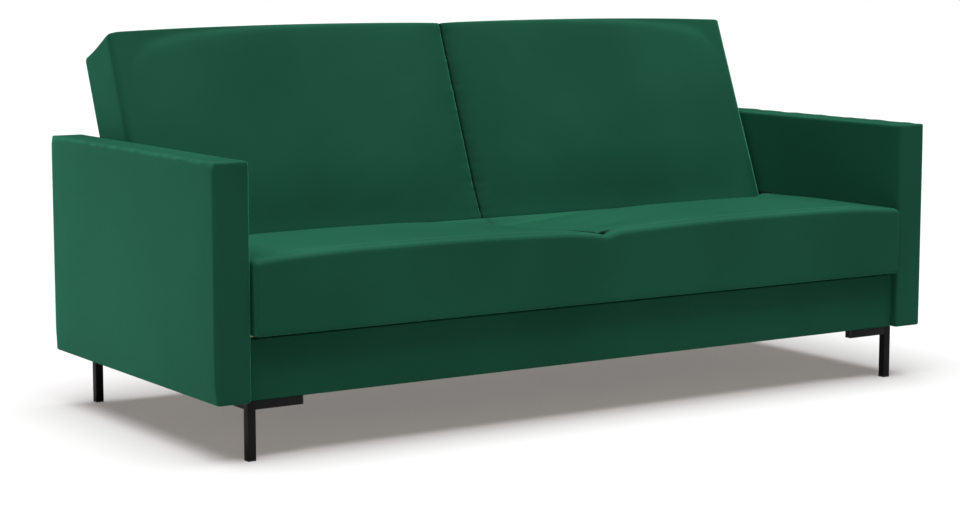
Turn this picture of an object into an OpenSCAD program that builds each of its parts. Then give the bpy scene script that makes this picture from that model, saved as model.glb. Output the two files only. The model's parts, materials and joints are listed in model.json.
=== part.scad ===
// Futon sofa bed: a click-clack seat and back between two fixed slab arms,
// over a bedding box on four corner legs.
// Frame: X runs along the sofa, -Y is the front, +Z is up, origin on the floor under the middle.

/* [Overall] */
// Width over both arms
overall_w = 2120; // [1800:10:2400]
// Depth from the seat's front to the rear of the arms
overall_d = 922; // [860:1:1000]
// Height of the underside of the box and arms above the floor
leg_h = 138; // [100:1:180]
// Height of the flat top of the seat above the floor
seat_top = 462; // [440:1:520]

/* [Arms] */
// Thickness of an upholstered arm
arm_t = 85; // [75:1:130]
// Height of the top of the arms above the floor
arm_h = 680; // [600:1:760]
// Foam and cover over the arm's frame
arm_pad = 12; // [8:1:16]
// Radius of the arm's outer edges
arm_edge_r = 11; // [6:1:16]
// Thickness of the hardboard skins on the arm's frame
arm_skin = 3; // [2:0.5:5]
// Height of the arm's bottom rail, which takes the bolts
arm_low_rail_h = 100; // [80:1:120]
// Width of the arm's posts and top rail
arm_post_w = 45; // [35:1:70]

/* [Seat and back] */
// Depth of the seat panel
seat_d = 558; // [480:1:600]
// Thickness of the seat panel
seat_t = 174; // [150:1:176]
// Length of the back panel, from its hinge edge to its top
back_len = 562; // [480:1:620]
// Thickness of the back panel
back_t = 170; // [140:1:170]
// How much shorter the back panel is at its rear face
back_taper = 9; // [0:1:20]
// Lean of the back from vertical when the sofa is set for sitting
back_recline = 22; // [10:1:30]
// How far the seat stands out past the front of the arms
seat_overhang = 14; // [0:1:40]
// Gap between each end of the panels and the arm beside it
side_gap = 10; // [10:0.5:16]
// Gap between the seat and the back, flat
hinge_edge_gap = 3; // [2:0.5:8]
// Radius of the panels' long upper edges, and the depth of both hinge axes
edge_r = 25; // [24:0.5:30]
// Thickness of the fabric cover
cover_t = 1.5; // [1:0.1:3]

/* [Panel frames] */
// Thickness of the panel frame's rails
rail_t = 30; // [22:1:40]
// Height of the panel frame's rails
rail_h = 55; // [45:1:60]
// Height of the cross rails
cross_rail_h = 38; // [30:1:40]
// Thickness of the cross rails
cross_rail_w = 21; // [18:1:30]
// Slats in each panel
slat_count = 16; // [10:2:20]
// Width of a slat
slat_w = 53; // [40:1:60]
// Thickness of a slat
slat_t = 8; // [6:0.5:10]
// Rise of a slat's middle over its ends
slat_bow = 6; // [0:1:8]
// Felt between the slats and the foam
felt_t = 3; // [2:0.5:6]
// Thickness of the cloth-faced lining board under each panel's frame
lining_t = 3; // [2:0.5:4]

/* [Bedding box] */
// Thickness of the box boards
board_t = 18; // [15:1:22]
// Height of the top of the box boards above the floor
box_top = 280; // [270:1:282]
// How far the box front stands behind the front of the arms
box_setback = 22; // [15:1:50]
// How far the box ends in front of the rear of the arms
box_rear_setback = 30; // [10:1:60]
// Padding and cover on the box front
front_pad = 8; // [5:1:10]
// Thickness of the box bottom
bottom_t = 8; // [4:1:12]
// Height of the box bottom's underside over the boards' lower edge
bottom_rise = 4; // [2:1:10]

/* [Legs] */
// Side of the square leg tube
tube = 20; // [18:1:30]
// Wall of the leg tube
tube_wall = 1.5; // [1:0.1:3]
// Length of each leg's horizontal bars, from the outer corner
bar_len = 140; // [110:1:200]
// Height of the foot glide under the tube
glide_h = 4; // [3:0.5:8]

/* [Hinges] */
// Thickness of the hinge plates and arms
steel_t = 3; // [2.5:0.5:3]
// Side gap between moving steel parts
steel_gap = 0.4; // [0.3:0.1:0.5]
// Radius of the round heads of the hinge arms
head_r = 22; // [18:0.5:23]
// Radius of the pivot rivets
pivot_r = 5; // [4:0.5:6]
// Radial running clearance on the pivot rivets
pivot_play = 0.05; // [0.02:0.01:0.1]
// Turn of the back between two click positions
click_step = 34; // [30:1:34]

/* [Hidden] */
$fn = 48;

// Clearances that hold for every size
glue_gap = 0.2;      // between solids of one node that are glued or welded together
rest_gap = 0.3;      // between a panel and the bumper it rests on
cut = 1;             // how far a cutter runs past the face it cuts

// Planes and lines of the carcass
in_x = overall_w / 2 - arm_t;          // inner face of an arm
panel_x = in_x - side_gap;             // end of the seat and back panels
seat_front = -overall_d / 2;
arm_front = seat_front + seat_overhang;
arm_rear = overall_d / 2;
box_front = arm_front + box_setback;
box_rear = arm_rear - box_rear_setback;
board_front = box_front + front_pad;
bottom_z = leg_h + bottom_rise;
bottom_top = bottom_z + bottom_t;
box_in_x = in_x - board_t;
box_in_y0 = board_front + board_t;
box_in_y1 = box_rear - board_t;

// Hinge axes: each lies at the centre of its panel's rounded edge
axis_z = seat_top - edge_r;
seat_rear = seat_front + seat_d;
seat_axis_y = seat_rear - edge_r;
back_axis_y = seat_rear + hinge_edge_gap + edge_r;
fold = 90 - back_recline;              // turn of the back from sitting to flat

// Layers across the gap beside the panels, measured inwards from the arm
plate_in = in_x - steel_t;
arm_out = plate_in - steel_gap;
arm_in = arm_out - steel_t;
rivet_head_t = side_gap - 2 * steel_t - 3 * steel_gap - rest_gap;
rivet_head_r = 9;

// Panel insides, as heights over the panel's underside
slat_rest = rail_h - slat_t - slat_bow;  // underside of a slat's ends
felt_z = rail_h;
foam_z = rail_h + felt_t;
bottom_edge_r = 6;
slat_pitch = 2 * (panel_x - cover_t - rail_t) / slat_count;
holder_w = slat_w + 5;
holder_len = 18;
holder_wall = 3;
slat_play = 0.3;
cross_rail_x = 2 * slat_pitch;

// Hinge arms: a round head on the axis, a sloping neck and a flange on the end rail
flange_h = 40;
flange_start = 95;
flange_end = 262;
neck_w = 30;
screw_r = 2.5;
screw_len = 26;
boss_r = 9.6;
screw_ys = [140, 190, 240];
notch_r = 2.6;

// Other fasteners
plate_bolt_r = 3;
bolt_head_t = 5;
plate_foot_z = bottom_top + 4;
arm_bolt_r = 4;
arm_bolt_z = leg_h + 62;
arm_bolt_bite = 34;
arm_bolt_ys = [box_front + 95, -60, box_rear - 90];
bumper_r = 6;
bumper_xs = [-panel_x + 150, -panel_x / 3, panel_x / 3, panel_x - 150];
leg_screw_r = 2.5;
leg_screw_len = 24;
leg_screw_head_t = 2;
leg_screw_in = min(front_pad + 2 * leg_screw_r, tube - 2 * leg_screw_r);  // in from the outer face

// --- plain shapes -------------------------------------------------------------------------

// A box between two corners
module block(lo, hi) { translate(lo) cube(hi - lo); }

// A cylinder along X from x0 to x1
module rod_x(x0, x1, y, z, r) {
  translate([min(x0, x1), y, z]) rotate([0, 90, 0]) cylinder(h = abs(x1 - x0), r = r);
}

// Turns an outline drawn in Y and Z into a solid between two planes of X
module slab_x(x0, x1) {
  translate([x0, 0, 0]) rotate([90, 0, 90]) linear_extrude(x1 - x0) children();
}

// A rectangle with two rounded upper corners of radius rt and two lower ones of radius rb
module rounded_rect(y0, y1, z0, z1, rt, rb) {
  translate([y0 + rt, z0]) square([y1 - y0 - 2 * rt, z1 - z0]);
  translate([y0 + rb, z0]) square([y1 - y0 - 2 * rb, rt]);
  translate([y0, z0 + rb]) square([y1 - y0, z1 - z0 - rt - rb]);
  for (y = [y0 + rt, y1 - rt]) translate([y, z1 - rt]) circle(rt);
  for (y = [y0 + rb, y1 - rb]) translate([y, z0 + rb]) circle(rb);
}

// Both ends of the sofa: the children are drawn for the +X end
module both_ends() {
  children();
  mirror([1, 0, 0]) children();
}

// --- arms ---------------------------------------------------------------------------------

arm_core_x0 = in_x + arm_pad;
arm_core_x1 = overall_w / 2 - arm_pad;
arm_core_y0 = arm_front + arm_pad;
arm_core_y1 = arm_rear - arm_pad;
arm_core_z1 = arm_h - arm_pad;
arm_rail_x0 = arm_core_x0 + arm_skin;
arm_rail_x1 = arm_core_x1 - arm_skin;

// Holes for the bolts that join the arm to the box side
module arm_bolt_holes() {
  for (y = arm_bolt_ys)
    rod_x(box_in_x - cut, in_x + arm_bolt_bite, y, arm_bolt_z, arm_bolt_r);
}

module arm_frame() color("burlywood") difference() {
  union() {
    block([arm_rail_x0, arm_core_y0, leg_h], [arm_rail_x1, arm_core_y1, leg_h + arm_low_rail_h]);
    block([arm_rail_x0, arm_core_y0, arm_core_z1 - arm_post_w], [arm_rail_x1, arm_core_y1, arm_core_z1]);
    for (y = [arm_core_y0, (arm_core_y0 + arm_core_y1 - arm_post_w) / 2, arm_core_y1 - arm_post_w])
      block([arm_rail_x0, y, leg_h + arm_low_rail_h + glue_gap],
            [arm_rail_x1, y + arm_post_w, arm_core_z1 - arm_post_w - glue_gap]);
  }
  arm_bolt_holes();
}

module arm_skins() color("peru") difference() {
  union() {
    block([arm_core_x0, arm_core_y0, leg_h], [arm_rail_x0, arm_core_y1, arm_core_z1]);
    block([arm_rail_x1, arm_core_y0, leg_h], [arm_core_x1, arm_core_y1, arm_core_z1]);
  }
  arm_bolt_holes();
}

module arm_upholstery() color([0.11, 0.33, 0.24]) difference() {
  slab_x(in_x, overall_w / 2)
    rounded_rect(arm_front, arm_rear, leg_h, arm_h, arm_edge_r, arm_edge_r / 2);
  block([arm_core_x0, arm_core_y0, leg_h - cut], [arm_core_x1, arm_core_y1, arm_core_z1]);
  arm_bolt_holes();
}

module arm_bolts() color("silver") both_ends()
  for (y = arm_bolt_ys) {
    rod_x(box_in_x, in_x + arm_bolt_bite, y, arm_bolt_z, arm_bolt_r);
    rod_x(box_in_x - bolt_head_t, box_in_x, y, arm_bolt_z, 2 * arm_bolt_r);
  }

// --- bedding box --------------------------------------------------------------------------

module box_front_board() color("tan") difference() {
  block([-in_x, board_front, leg_h], [in_x, box_in_y0, box_top]);
  leg_screw_holes();
}

module box_front_upholstery() color([0.11, 0.33, 0.24])
  block([-in_x, box_front, leg_h], [in_x, board_front, box_top]);

module box_rear_board() color("tan") difference() {
  block([-in_x, box_in_y1, leg_h], [in_x, box_rear, box_top]);
  leg_screw_holes();
}

module box_side() color("tan") difference() {
  block([box_in_x, box_in_y0, leg_h], [in_x, box_in_y1, box_top]);
  block([plate_in, seat_axis_y - head_r - glue_gap, plate_foot_z - glue_gap],
        [in_x + cut, back_axis_y + head_r + glue_gap, box_top + cut]);
  plate_bolt_holes();
  arm_bolt_holes();
  leg_screw_holes();
}

module box_bottom() color("wheat")
  block([-box_in_x, box_in_y0, bottom_z], [box_in_x, box_in_y1, bottom_top]);

module box_divider() color("tan")
  block([-board_t / 2, box_in_y0, bottom_top], [board_t / 2, box_in_y1, box_top - 2 * bottom_t]);

module bumpers(ys, top) {
  for (x = bumper_xs) translate([x, ys, box_top]) cylinder(h = top - box_top - rest_gap, r = bumper_r);
}

module seat_bumpers() color("black") bumpers(board_front + board_t / 2, seat_top - seat_t);
module back_bumpers() color("black") bumpers(box_rear - board_t / 2, seat_top - back_t);

// --- legs: a post and two bars of square tube that meet under a box corner -----------------

module post() difference() {
  block([in_x - tube, box_front, glide_h], [in_x, box_front + tube, leg_h]);
  block([in_x - tube + tube_wall, box_front + tube_wall, glide_h - cut],
        [in_x - tube_wall, box_front + tube - tube_wall, leg_h + cut]);
}

module bar_along_x() difference() {
  block([in_x - bar_len, box_front, leg_h - tube], [in_x - tube - glue_gap, box_front + tube, leg_h]);
  block([in_x - bar_len - cut, box_front + tube_wall, leg_h - tube + tube_wall],
        [in_x, box_front + tube - tube_wall, leg_h - tube_wall]);
}

module bar_along_y() difference() {
  block([in_x - tube, box_front + tube + glue_gap, leg_h - tube], [in_x, box_front + bar_len, leg_h]);
  block([in_x - tube + tube_wall, box_front, leg_h - tube + tube_wall],
        [in_x - tube_wall, box_front + bar_len + cut, leg_h - tube_wall]);
}

// Places for the two screws in each bar, as points under the box
bar_screw_steps = [0.45, 0.8];
function x_bar_screws() = [for (s = bar_screw_steps) [in_x - s * bar_len, box_front + leg_screw_in]];
function y_bar_screws() = [for (s = bar_screw_steps) [in_x - tube / 2, box_front + s * bar_len]];

// Puts the front right leg's children at all four corners of the box
module at_corners() {
  y_mid = (box_front + box_rear) / 2;
  both_ends() {
    children();
    translate([0, y_mid, 0]) mirror([0, 1, 0]) translate([0, -y_mid, 0]) children();
  }
}

module leg_screw_shanks(grow) {
  for (p = concat(x_bar_screws(), y_bar_screws()))
    translate([p.x, p.y, leg_h - tube - grow]) cylinder(h = tube + leg_screw_len + grow, r = leg_screw_r);
}

module leg_screw_holes() at_corners() leg_screw_shanks(cut);

module leg(side, rear) color([0.08, 0.08, 0.08]) difference() {
  y_mid = (box_front + box_rear) / 2;
  mirror([side < 0 ? 1 : 0, 0, 0])
    translate([0, rear ? y_mid : 0, 0]) mirror([0, rear ? 1 : 0, 0]) translate([0, rear ? -y_mid : 0, 0]) {
      post();
      bar_along_x();
      bar_along_y();
    }
  leg_screw_holes();
}

module leg_screws() color("silver") at_corners() {
  leg_screw_shanks(0);
  for (p = concat(x_bar_screws(), y_bar_screws()))
    translate([p.x, p.y, leg_h - tube - leg_screw_head_t])
      cylinder(h = leg_screw_head_t, r = 2 * leg_screw_r);
}

plug_t = 3;
module leg_end_plugs() color([0.1, 0.1, 0.1]) at_corners() {
  block([in_x - bar_len - plug_t, box_front, leg_h - tube], [in_x - bar_len, box_front + tube, leg_h]);
  block([in_x - tube, box_front + bar_len, leg_h - tube], [in_x, box_front + bar_len + plug_t, leg_h]);
}

module foot_glides() color([0.1, 0.1, 0.1]) at_corners()
  block([in_x - tube, box_front, 0], [in_x, box_front + tube, glide_h]);

// --- hinges: drawn for the +X end ----------------------------------------------------------

plate_bolts = [[seat_axis_y, plate_foot_z + 20], [back_axis_y, plate_foot_z + 20],
               [(seat_axis_y + back_axis_y) / 2, box_top - 30]];

module plate_bolt_holes() {
  for (p = plate_bolts) rod_x(box_in_x - cut, in_x + cut, p[0], p[1], plate_bolt_r);
}

module hinge_plate() color("dimgray") difference() {
  slab_x(plate_in, in_x) {
    translate([seat_axis_y - head_r, plate_foot_z])
      square([back_axis_y - seat_axis_y + 2 * head_r, axis_z - plate_foot_z]);
    translate([seat_axis_y, axis_z - head_r]) square([back_axis_y - seat_axis_y, 2 * head_r]);
    for (y = [seat_axis_y, back_axis_y]) translate([y, axis_z]) circle(head_r);
  }
  plate_bolt_holes();
  for (y = [seat_axis_y, back_axis_y]) rod_x(plate_in - cut, in_x + cut, y, axis_z, pivot_r);
}

module hinge_plate_bolts() color("silver") both_ends()
  for (p = plate_bolts) {
    rod_x(box_in_x, in_x, p[0], p[1], plate_bolt_r);
    rod_x(box_in_x - bolt_head_t, box_in_x, p[0], p[1], 2 * plate_bolt_r);
  }

module pivot_rivet(y) {
  rod_x(arm_in - steel_gap, in_x, y, axis_z, pivot_r);
  rod_x(arm_in - steel_gap - rivet_head_t, arm_in - steel_gap, y, axis_z, rivet_head_r);
}

module seat_pivot_rivets() color("silver") both_ends() pivot_rivet(seat_axis_y);
module back_pivot_rivets() color("silver") both_ends() pivot_rivet(back_axis_y);

// Leaf spring whose nose drops into a notch of the back's hinge head
leaf_t = 2;
nose_r = notch_r - steel_gap / 2;
leaf_reach = back_axis_y - seat_axis_y - 14;
leaf_foot_h = 26;

module click_spring() {
  nose_z = axis_z - head_r - steel_gap / 2;
  slab_x(arm_in, arm_out) {
    translate([back_axis_y, nose_z]) circle(nose_r);
    translate([back_axis_y - leaf_reach, nose_z - nose_r]) square([leaf_reach, leaf_t]);
    translate([back_axis_y - leaf_reach, nose_z - nose_r - leaf_foot_h])
      square([2 * leaf_t, leaf_foot_h + leaf_t]);
  }
  block([arm_out - cut, back_axis_y - leaf_reach, nose_z - nose_r - leaf_foot_h],
        [plate_in, back_axis_y - leaf_reach + 2 * leaf_t, nose_z - nose_r - leaf_foot_h / 2]);
}

module click_springs() color("lightsteelblue") both_ends() click_spring();

// --- a panel in its own frame: hinge axis at the origin, lying flat, running towards +Y -----

// A panel is [length, thickness, taper]
seat_panel = [seat_d, seat_t, 0];
back_panel = [back_len, back_t, back_taper];
function len_of(p) = p[0];
function thick(p) = p[1];
function taper_of(p) = p[2];
function under(p) = edge_r - thick(p);         // height of a panel's underside in its own frame
function frame_foot(p) = under(p) + lining_t;  // height of its wooden frame's underside
function rail_start() = cover_t - edge_r;      // where the wooden frame starts and ends
function rail_end(p) = len_of(p) - edge_r - cover_t - taper_of(p);

module seat_place() translate([0, seat_axis_y, axis_z]) mirror([0, 1, 0]) children();
module back_place() translate([0, back_axis_y, axis_z]) rotate([fold, 0, 0]) children();

module flange_screw_holes(p) {
  for (y = screw_ys)
    rod_x(arm_out - screw_len, arm_out + cut, y, frame_foot(p) + rail_h / 2, screw_r);
}

module both_flange_holes(p) both_ends() flange_screw_holes(p);

// Outline of a panel, shrunk all round by inset, with its far end cut back by the taper at the underside
module panel_outline(p, inset) difference() {
  rounded_rect(inset - edge_r, len_of(p) - edge_r - inset, under(p) + inset, edge_r - inset,
               edge_r - inset, bottom_edge_r - inset);
  if (taper_of(p) > 0)
    translate([len_of(p) - edge_r - inset, edge_r]) rotate(-atan(taper_of(p) / thick(p)))
      translate([0, -2 * thick(p)]) square(3 * thick(p));
}

// Fabric over the face, the ends and the long edges, open under the frame
module panel_cover(p) color([0.11, 0.33, 0.24]) difference() {
  slab_x(-panel_x, panel_x) panel_outline(p, 0);
  slab_x(-panel_x + cover_t, panel_x - cover_t) {
    panel_outline(p, cover_t);
    translate([2 * cover_t - edge_r + bottom_edge_r, under(p) - cut])
      square([len_of(p) - 2 * bottom_edge_r - 4 * cover_t - taper_of(p), 2 * bottom_edge_r]);
  }
  both_flange_holes(p);
}

module panel_foam(p) color("khaki") intersection() {
  slab_x(-panel_x + cover_t, panel_x - cover_t) panel_outline(p, cover_t);
  block([-panel_x, -edge_r, frame_foot(p) + foam_z], [panel_x, len_of(p), edge_r]);
}

module panel_felt(p) color("gray")
  block([-panel_x + cover_t, cover_t - edge_r, frame_foot(p) + felt_z],
        [panel_x - cover_t, rail_end(p), frame_foot(p) + foam_z]);

// The long rails stand clear of the cover's rounded lower edges
module long_rail(y0, p) color("burlywood")
  block([-panel_x + cover_t, y0, under(p) + max(lining_t, bottom_edge_r)],
        [panel_x - cover_t, y0 + rail_t, frame_foot(p) + rail_h]);

module end_rails(p) color("burlywood") difference() {
  both_ends() block([panel_x - cover_t - rail_t, rail_start() + rail_t + glue_gap, frame_foot(p)],
                    [panel_x - cover_t, rail_end(p) - rail_t - glue_gap, frame_foot(p) + rail_h]);
  both_flange_holes(p);
}

module cross_rails(p) color("burlywood")
  for (x = [-cross_rail_x, 0, cross_rail_x])
    block([x - cross_rail_w / 2, rail_start() + rail_t + glue_gap, frame_foot(p)],
          [x + cross_rail_w / 2, rail_end(p) - rail_t - glue_gap, frame_foot(p) + cross_rail_h]);

function slat_xs() = [for (i = [0 : slat_count - 1]) (i - (slat_count - 1) / 2) * slat_pitch];

// Points of a bowed slat's side view, from y0 to y1, rising by bow in the middle
function slat_points(y0, y1, z, bow, n) = concat(
  [for (i = [0 : n]) [y0 + (y1 - y0) * i / n, z + bow * (1 - pow(2 * i / n - 1, 2))]],
  [for (i = [n : -1 : 0]) [y0 + (y1 - y0) * i / n, z + slat_t + bow * (1 - pow(2 * i / n - 1, 2))]]
);
slat_steps = 8;

module slat(p, x) {
  y0 = rail_start() + rail_t + holder_wall;
  y1 = rail_end(p) - rail_t - holder_wall;
  slab_x(x - slat_w / 2, x + slat_w / 2)
    polygon(slat_points(y0, y1, frame_foot(p) + slat_rest, slat_bow, slat_steps));
}

module slats(p) color("moccasin") for (x = slat_xs()) slat(p, x);

// A plastic cap screwed to the rail, with a pocket for the slat's end
module slat_holder(y_rail, dir, p, x) {
  z0 = frame_foot(p) + slat_rest - holder_wall;
  z1 = frame_foot(p) + rail_h - rest_gap;
  y0 = min(y_rail, y_rail + dir * holder_len);
  y1 = max(y_rail, y_rail + dir * holder_len);
  pocket_y0 = dir > 0 ? y0 + holder_wall - slat_play : y0 - cut;
  pocket_y1 = dir > 0 ? y1 + cut : y1 - holder_wall + slat_play;
  difference() {
    block([x - holder_w / 2, y0, z0], [x + holder_w / 2, y1, z1]);
    block([x - slat_w / 2 - slat_play, pocket_y0, z0 + holder_wall - slat_play],
          [x + slat_w / 2 + slat_play, pocket_y1, z1 - holder_wall + slat_play]);
  }
}

module slat_holders(p) color("dimgray")
  for (x = slat_xs()) {
    slat_holder(rail_start() + rail_t, 1, p, x);
    slat_holder(rail_end(p) - rail_t, -1, p, x);
  }

// Steel arm at the +X end: round head on the axis, neck, flange and the bosses that stand on the cover
module hinge_arm(p, notches) color("dimgray") difference() {
  flange_z = frame_foot(p) + rail_h / 2;
  neck_len = sqrt(pow(flange_start + flange_h / 2, 2) + pow(flange_z, 2));
  union() {
    slab_x(arm_in, arm_out) {
      circle(head_r);
      rotate(atan2(flange_z, flange_start + flange_h / 2))
        translate([0, -neck_w / 2]) square([neck_len, neck_w]);
      translate([flange_start, flange_z - flange_h / 2]) square([flange_end - flange_start, flange_h]);
    }
    for (y = screw_ys) rod_x(panel_x, arm_out - cut, y, flange_z, boss_r);
  }
  rod_x(arm_in - cut, arm_out + cut, 0, 0, pivot_r + pivot_play);
  for (a = notches)
    rod_x(arm_in - cut, arm_out + cut, head_r * cos(a), head_r * sin(a), notch_r);
  flange_screw_holes(p);
}

module flange_screws(p) color("silver") both_ends()
  for (y = screw_ys) rod_x(arm_out - screw_len, arm_out, y, frame_foot(p) + rail_h / 2, screw_r);

// The back's head has a notch for the nose at each click position
back_notches = [-90, -90 - click_step, -90 - fold];

// Board that closes the frame's underside between the cover's hems
module panel_lining(p) color([0.11, 0.33, 0.24])
  block([-panel_x + cover_t, 2 * cover_t - edge_r + bottom_edge_r, under(p)],
        [panel_x - cover_t, rail_end(p) - bottom_edge_r - 2 * cover_t, under(p) + lining_t]);

// --- nodes ---------------------------------------------------------------------------------

mirror([1, 0, 0]) arm_frame();  // arm_frame_left
arm_frame();  // arm_frame_right
mirror([1, 0, 0]) arm_skins();  // arm_skins_left
arm_skins();  // arm_skins_right
mirror([1, 0, 0]) arm_upholstery();  // arm_upholstery_left
arm_upholstery();  // arm_upholstery_right
arm_bolts();
box_front_board();
box_front_upholstery();
mirror([1, 0, 0]) box_side();  // box_side_left
box_side();  // box_side_right
box_rear_board();
box_bottom();
box_divider();
leg(-1, false);  // leg_front_left
leg(1, false);  // leg_front_right
leg(-1, true);  // leg_rear_left
leg(1, true);  // leg_rear_right
leg_end_plugs();
foot_glides();
leg_screws();
mirror([1, 0, 0]) hinge_plate();  // hinge_plate_left
hinge_plate();  // hinge_plate_right
hinge_plate_bolts();
seat_pivot_rivets();
back_pivot_rivets();
click_springs();
seat_bumpers();
back_bumpers();
seat_place() long_rail(rail_end(seat_panel) - rail_t, seat_panel);  // seat_front_rail
seat_place() long_rail(rail_start(), seat_panel);  // seat_rear_rail
seat_place() end_rails(seat_panel);  // seat_end_rails
seat_place() cross_rails(seat_panel);  // seat_cross_rails
seat_place() slats(seat_panel);  // seat_slats
seat_place() slat_holders(seat_panel);  // seat_slat_holders
seat_place() panel_felt(seat_panel);  // seat_felt
seat_place() panel_foam(seat_panel);  // seat_foam
seat_place() panel_cover(seat_panel);  // seat_cover
seat_place() panel_lining(seat_panel);  // seat_lining
mirror([1, 0, 0]) seat_place() hinge_arm(seat_panel, []);  // seat_hinge_arm_left
seat_place() hinge_arm(seat_panel, []);  // seat_hinge_arm_right
seat_place() flange_screws(seat_panel);  // seat_arm_screws
back_place() long_rail(rail_end(back_panel) - rail_t, back_panel);  // back_top_rail
back_place() long_rail(rail_start(), back_panel);  // back_lower_rail
back_place() end_rails(back_panel);  // back_end_rails
back_place() cross_rails(back_panel);  // back_cross_rails
back_place() slats(back_panel);  // back_slats
back_place() slat_holders(back_panel);  // back_slat_holders
back_place() panel_felt(back_panel);  // back_felt
back_place() panel_foam(back_panel);  // back_foam
back_place() panel_cover(back_panel);  // back_cover
back_place() panel_lining(back_panel);  // back_lining
mirror([1, 0, 0]) back_place() hinge_arm(back_panel, back_notches);  // back_hinge_arm_left
back_place() hinge_arm(back_panel, back_notches);  // back_hinge_arm_right
back_place() flange_screws(back_panel);  // back_arm_screws
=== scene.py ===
# %% [markdown]
# # A click-clack sofa bed in green velvet
# The sofa has one padded seat and one padded back between two slab arms. It stands on four legs of
# black square tube. The seat lifts over a bedding box, and the back folds down flat to make a bed.
# The frame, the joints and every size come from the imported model, so each piece goes where the
# model says. Blender adds what a drawing can't: foam that swells, cloth that is pulled at its
# seams, pile, grain and powder coat.

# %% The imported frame
import json
import math
import bpy
import numpy as np
from mathutils import Matrix, Vector


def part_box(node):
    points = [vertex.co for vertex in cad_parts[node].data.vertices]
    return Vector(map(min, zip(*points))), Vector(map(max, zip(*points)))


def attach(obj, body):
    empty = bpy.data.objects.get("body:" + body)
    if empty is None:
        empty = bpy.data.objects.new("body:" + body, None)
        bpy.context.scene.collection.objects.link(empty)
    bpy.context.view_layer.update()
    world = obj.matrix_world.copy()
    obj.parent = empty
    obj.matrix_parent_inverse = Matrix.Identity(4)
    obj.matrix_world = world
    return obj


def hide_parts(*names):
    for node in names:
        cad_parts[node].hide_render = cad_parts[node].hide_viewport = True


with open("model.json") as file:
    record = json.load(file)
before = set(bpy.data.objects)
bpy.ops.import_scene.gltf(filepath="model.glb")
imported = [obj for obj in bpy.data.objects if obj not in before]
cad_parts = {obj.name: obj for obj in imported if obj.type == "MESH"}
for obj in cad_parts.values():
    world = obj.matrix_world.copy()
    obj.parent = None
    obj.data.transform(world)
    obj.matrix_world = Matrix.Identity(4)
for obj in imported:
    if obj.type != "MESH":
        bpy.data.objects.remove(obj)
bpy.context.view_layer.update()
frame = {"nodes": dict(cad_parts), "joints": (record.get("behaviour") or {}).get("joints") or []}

nodes = frame["nodes"]
joints = {joint["name"]: joint for joint in frame["joints"]}
mm = 0.001

# %% [markdown]
# ## The camera
# It stands to the left of the sofa's middle, a little above the back, and looks down slightly.
# A long lens keeps the far arm nearly as large as the near one. Making it first lets every later
# piece be judged from the same place.

# %% Camera
bpy.ops.object.camera_add(location=(-3.361, -5.037, 1.147),
                          rotation=(math.radians(82.32), 0, math.radians(-33.14)))
camera = bpy.context.object
camera.name = "camera"
camera.data.sensor_width = 36
camera.data.lens = 87.5
camera.data.clip_end = 100
bpy.context.scene.camera = camera

# %% [markdown]
# ## Helpers for modelling
# Each helper does one thing that is done by hand all the time: pick a piece, pick some of its
# edges or faces by their place, start from a block, apply a modifier. Operators act on whatever
# is selected, so each helper first clears the selection.


# %% Modelling helpers
def select_only(*pieces):
    """Selects these objects and makes the last one active."""
    bpy.ops.object.select_all(action="DESELECT")
    for piece in pieces:
        piece.select_set(True)
    bpy.context.view_layer.objects.active = pieces[-1]


def pick(piece, kind, test):
    """Enters edit mode with only the edges or faces selected that pass the test on their points."""
    select_only(piece)
    mesh = piece.data
    bpy.context.tool_settings.mesh_select_mode = (False, kind == "edge", kind == "face")
    for part in (*mesh.vertices, *mesh.edges, *mesh.polygons):
        part.select = False
    for part in mesh.edges if kind == "edge" else mesh.polygons:
        part.select = test([mesh.vertices[i].co for i in part.vertices])
    bpy.ops.object.mode_set(mode="EDIT")


def done():
    """Leaves edit mode."""
    bpy.ops.object.mode_set(mode="OBJECT")


def block(name, low, high):
    """A box between two corners, with its place in its mesh."""
    low, high = Vector(low), Vector(high)
    bpy.ops.mesh.primitive_cube_add(size=1, location=(low + high) / 2)
    piece = bpy.context.object
    piece.name = piece.data.name = name
    piece.scale = high - low
    select_only(piece)
    bpy.ops.object.transform_apply(location=True, rotation=True, scale=True)
    return piece


def apply(piece, kind, **settings):
    """Adds one modifier with these settings and applies it."""
    select_only(piece)
    modifier = piece.modifiers.new(kind.title(), kind)
    for name, value in settings.items():
        setattr(modifier, name, value)
    bpy.ops.object.modifier_apply(modifier=modifier.name)


def points(piece):
    """The piece's vertices as an array of rows."""
    flat = np.empty(3 * len(piece.data.vertices))
    piece.data.vertices.foreach_get("co", flat)
    return flat.reshape(-1, 3)


def set_points(piece, rows):
    """Moves the piece's vertices to these rows."""
    piece.data.vertices.foreach_set("co", rows.ravel())
    piece.data.update()


def ramp(values, start, end):
    """0 before start, 1 after end, smooth between. It also runs backwards."""
    t = np.clip((values - start) / (end - start), 0, 1)
    return t * t * (3 - 2 * t)


# %% [markdown]
# ## Helpers for materials
# A finish is a shader with a few textures in front of it. An effect that several finishes share,
# such as pile or wood grain, is a node group that is built once and placed with its own values.
# All patterns read Object coordinates, so they stay on a piece when it moves with its joint.


# %% Material helpers
def shader(name, roughness=0.6, **constants):
    """A new material: its node tree, its shader and its Object coordinates."""
    material = bpy.data.materials.new(name)
    material.use_nodes = True
    tree = material.node_tree
    principled = tree.nodes["Principled BSDF"]
    principled.inputs["Roughness"].default_value = roughness
    for socket, value in constants.items():
        principled.inputs[socket.replace("_", " ")].default_value = value
    coordinates = tree.nodes.new("ShaderNodeTexCoord")
    return material, tree, principled, coordinates.outputs["Object"]


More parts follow.
